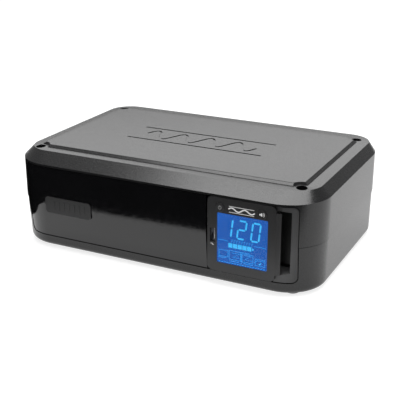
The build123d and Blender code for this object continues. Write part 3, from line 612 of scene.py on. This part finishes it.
def print_mute_symbol():
    """Loudspeaker: a magnet, a cone and two sound waves."""
    neck = 0.75
    mouth = 2.0
    spread = 48
    centre = middle("mute_button")
    x = centre.x - 0.6
    z = centre.z
    mark = printed("mute_button")
    mark.outline([(x - 1.9, z - neck), (x - 0.8, z - neck), (x - 0.8, z + neck), (x - 1.9, z + neck)])
    mark.outline([(x - 0.7, z - neck), (x + 0.7, z - mouth), (x + 0.7, z + mouth), (x - 0.7, z + neck)])
    for radius in (1.5, 2.7):
        mark.stroke(arc((x + 0.3, z), radius, -spread, spread), 0.45)
    mark.piece("mute_symbol", PRINT_PALE, "mute_button")


def print_panel_marks():
    """Plain wave between two rules above the screen, and a small zigzag under the charging port."""
    mark = printed("module_bezel")
    level = middle("power_button").z - 0.2
    wave = []
    for i in range(WAVE_STEPS + 1):
        x = WAVE_LEFT + (WAVE_RIGHT - WAVE_LEFT) * i / WAVE_STEPS
        turn = 2 * WAVE_COUNT * math.pi * i / WAVE_STEPS
        wave.append((x, level + WAVE_HEIGHT * math.sin(turn)))
    mark.stroke(wave, WAVE_STROKE)
    for z in (level - RULE_OFFSET, level + RULE_OFFSET):
        mark.stroke([(WAVE_LEFT + RULE_INSET, z), (WAVE_RIGHT - RULE_INSET, z)], RULE_STROKE)
    x = middle("usb_charging_port").x
    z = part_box("usb_charging_port")[0].z / MM - 2.6
    mark.stroke([(x - 1.7, z + 0.5), (x + 0.2, z + 0.5), (x - 0.2, z - 0.5), (x + 1.7, z - 0.5)], 0.4)
    mark.piece("bezel_print", PRINT_PALE, MODULE)


def screen_point(u, v):
    """Place on the screen: u from its left edge, v from its top edge, both from 0 to 1."""
    low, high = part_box("lcd_panel")
    left = low.x / MM + SCREEN_EDGE
    right = high.x / MM - SCREEN_EDGE
    bottom = low.z / MM + SCREEN_EDGE
    top = high.z / MM - SCREEN_EDGE
    return (left + u * (right - left), top - v * (top - bottom))


def screen_points(shares):
    return [screen_point(u, v) for u, v in shares]


def screen_plate():
    """Plate for graphics that lie in the gap between the panel and the window."""
    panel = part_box("lcd_panel")[0].y / MM
    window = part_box("display_window")[1].y / MM
    gap = panel - window
    return Plate(window + 0.25 * gap, panel - 0.15 * gap)


def draw_figure(plate, digit, left, bottom):
    """Leaning seven-segment figure; each segment is a bar with pointed ends."""
    half = FIGURE_STROKE / 2
    for key in SEGMENTS[digit]:
        ends = []
        for across, up in SEGMENT_ENDS[key]:
            height = up * FIGURE_HEIGHT / 2
            ends.append(Vector((left + across * FIGURE_WIDTH + FIGURE_LEAN * height, bottom + height)))
        along = (ends[1] - ends[0]).normalized()
        side = Vector((-along.y, along.x)) * half
        first = ends[0] + along * FIGURE_GAP
        last = ends[1] - along * FIGURE_GAP
        inner_first = first + along * half
        inner_last = last - along * half
        corners = (first, inner_first + side, inner_last + side,
                   last, inner_last - side, inner_first - side)
        plate.outline([tuple(corner) for corner in corners])


def draw_charge_bar(plate):
    """Row of blocks and a pointed end."""
    top, bottom = CHARGE_ROWS
    for i in range(CHARGE_BLOCKS):
        left = CHARGE_LEFT + CHARGE_PITCH * i
        right = left + CHARGE_WIDTH
        plate.outline(screen_points([(left, top), (right, top), (right, bottom), (left, bottom)]))
    plate.outline(screen_points(CHARGE_TIP))


def draw_pictograms(plate):
    """Thin lines and boxes of the lower part, a row of ticks above the charge bar and a row of dashes."""
    for line in SCREEN_LINES:
        plate.stroke(screen_points(line), LINE_STROKE)
    for left, top, right, bottom in SCREEN_BOXES:
        corners = [(left, top), (right, top), (right, bottom), (left, bottom)]
        plate.stroke(screen_points(corners), BOX_STROKE, closed=True)
    for i in range(TICK_COUNT):
        left = TICK_LEFT + TICK_PITCH * i
        tick = [(left, 0.535), (left + 0.012, 0.475), (left + 0.032, 0.485)]
        plate.stroke(screen_points(tick), TICK_STROKE)
    for i in range(DASH_COUNT):
        left = DASH_LEFT + DASH_PITCH * i
        dash = [(left, 0.962), (left + 0.034, 0.955)]
        plate.stroke(screen_points(dash), DASH_STROKE)


def draw_screen():
    """Bright graphics as one piece and dim ones as another."""
    bright = screen_plate()
    left, bottom = screen_point(*FIGURES_AT)
    for i, digit in enumerate(SCREEN_FIGURES):
        draw_figure(bright, digit, left + i * FIGURE_PITCH, bottom)
    draw_charge_bar(bright)
    bright.outline(screen_points(LEAF))
    bright.piece("screen_figures", glow("lcd_figures", LCD_CYAN), MODULE)
    dim = screen_plate()
    draw_pictograms(dim)
    dim.piece("screen_outlines", glow("lcd_outlines", LCD_DIM), MODULE)


PRINT_PALE = plastic("print_pale", PRINT_WHITE, 0.5, grain=3000.0, depth=0.005, spread=0.05)
PRINT_GREY = plastic("print_grey", PRINT_MID, 0.5, grain=3000.0, depth=0.005, spread=0.05)
print_power_symbol()
print_mute_symbol()
print_panel_marks()
draw_screen()


# ---------------------------------------------------------------- flat cable behind the module
def fold_flat_cable():
    """Cable folded to and fro behind the module."""
    low, high = (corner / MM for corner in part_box("display_ribbon"))
    x = (low.x + high.x) / 2
    z = (low.z + high.z) / 2
    steps = FOLD_STEPS * FOLD_COUNT
    half = FLAT_CABLE_WIDTH / 2
    front = low.y + FOLD_END_GAP
    run = high.y - low.y - 2 * FOLD_END_GAP
    path = []
    for i in range(steps + 1):
        share = i / steps
        swing = math.sin(math.pi * FOLD_COUNT * share) * FOLD_DEPTH
        path.append(Vector((front + run * share, z + swing)))
    verts = []
    faces = []
    for i, place in enumerate(path):
        along = (path[min(i + 1, steps)] - path[max(i - 1, 0)]).normalized()
        side = Vector((-along.y, along.x)) * (FLAT_CABLE_THICK / 2)
        for edge, offset in ((-half, side), (half, side), (half, -side), (-half, -side)):
            verts.append(Vector((x + edge, place.x + offset.x, place.y + offset.y)) * MM)
    for i in range(steps):
        for k in range(4):
            after = (k + 1) % 4
            faces.append((4 * i + k, 4 * i + after, 4 * i + 4 + after, 4 * i + 4 + k))
    faces.append((3, 2, 1, 0))
    faces.append(tuple(4 * steps + k for k in range(4)))
    cable = mesh_piece("flat_cable", verts, faces)
    shade_smooth(cable)
    cable.data.materials.append(SLOTS["ribbon_cable"])
    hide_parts("display_ribbon")
    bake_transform(cable)


fold_flat_cable()


# ---------------------------------------------------------------- stage, lights and camera
def level_corners(x, y, z):
    """Corners of a level rectangle."""
    return [(x[0], y[0], z), (x[1], y[0], z), (x[1], y[1], z), (x[0], y[1], z)]


def look_at(obj, target):
    obj.rotation_euler = (target - obj.location).to_track_quat("-Z", "Y").to_euler()


def add_softbox(name, place, target, size, power):
    light = bpy.data.lights.new(name, "AREA")
    light.shape = "RECTANGLE"
    light.size = size[0]
    light.size_y = size[1]
    light.energy = power
    obj = new_object(name, light)
    obj.location = place
    look_at(obj, target)
    obj.visible_camera = False


def add_floor():
    """Pale floor that also glows a little, as paper does when it is lit from behind."""
    extent = (-FLOOR_HALF, FLOOR_HALF)
    floor = mesh_piece("floor", level_corners(extent, extent, 0), [(0, 1, 2, 3)])
    nodes = Nodes("floor_white")
    tone = nodes.ramp(nodes.noise(1.2), [(0.3, (0.39, 0.39, 0.39)), (0.7, (0.41, 0.41, 0.41))])
    nodes.link(tone, nodes.shader.inputs["Base Color"])
    nodes.shader.inputs["Emission Color"].default_value = (1.0, 1.0, 1.0, 1.0)
    nodes.shader.inputs["Emission Strength"].default_value = FLOOR_GLOW
    nodes.shader.inputs["Roughness"].default_value = 0.9
    nodes.shader.inputs["Specular IOR Level"].default_value = 0.0
    floor.data.materials.append(nodes.material)


def add_flag(name, x, y):
    """Black card just above the floor, seen only in reflections, as a photographer places one."""
    card = mesh_piece(name, level_corners(x, y, FLAG_HEIGHT), [(0, 1, 2, 3)])
    nodes = Nodes(name)
    nodes.shader.inputs["Base Color"].default_value = (0.0, 0.0, 0.0, 1.0)
    nodes.shader.inputs["Specular IOR Level"].default_value = 0.0
    card.data.materials.append(nodes.material)
    card.visible_camera = False
    card.visible_diffuse = False
    card.visible_transmission = False
    card.visible_shadow = False


def add_room_light():
    world = bpy.data.worlds.new("studio")
    world.use_nodes = True
    background = world.node_tree.nodes["Background"]
    background.inputs["Color"].default_value = (1.0, 1.0, 1.0, 1.0)
    background.inputs["Strength"].default_value = ROOM_LIGHT
    bpy.context.scene.world = world


def add_camera():
    camera = new_object("camera", bpy.data.cameras.new("camera"))
    azimuth = math.radians(CAMERA_AZIMUTH)
    elevation = math.radians(CAMERA_ELEVATION)
    level = Vector((math.sin(azimuth), -math.cos(azimuth), 0.0)) * math.cos(elevation)
    back = level + Vector((0.0, 0.0, math.sin(elevation)))
    camera.location = CAMERA_TARGET + back * CAMERA_DISTANCE
    look_at(camera, CAMERA_TARGET)
    camera.data.lens = CAMERA_LENS
    camera.data.sensor_width = 36.0
    camera.data.clip_start = 0.01
    camera.data.clip_end = 50.0
    bpy.context.scene.camera = camera


add_floor()
for name, (x, y) in FLAGS.items():
    add_flag(name, x, y)
add_room_light()
for name, place, target, size, power in SOFTBOXES:
    add_softbox(name, Vector(place), Vector(target), size, power)
add_camera()
bpy.context.scene.view_settings.view_transform = "Standard"
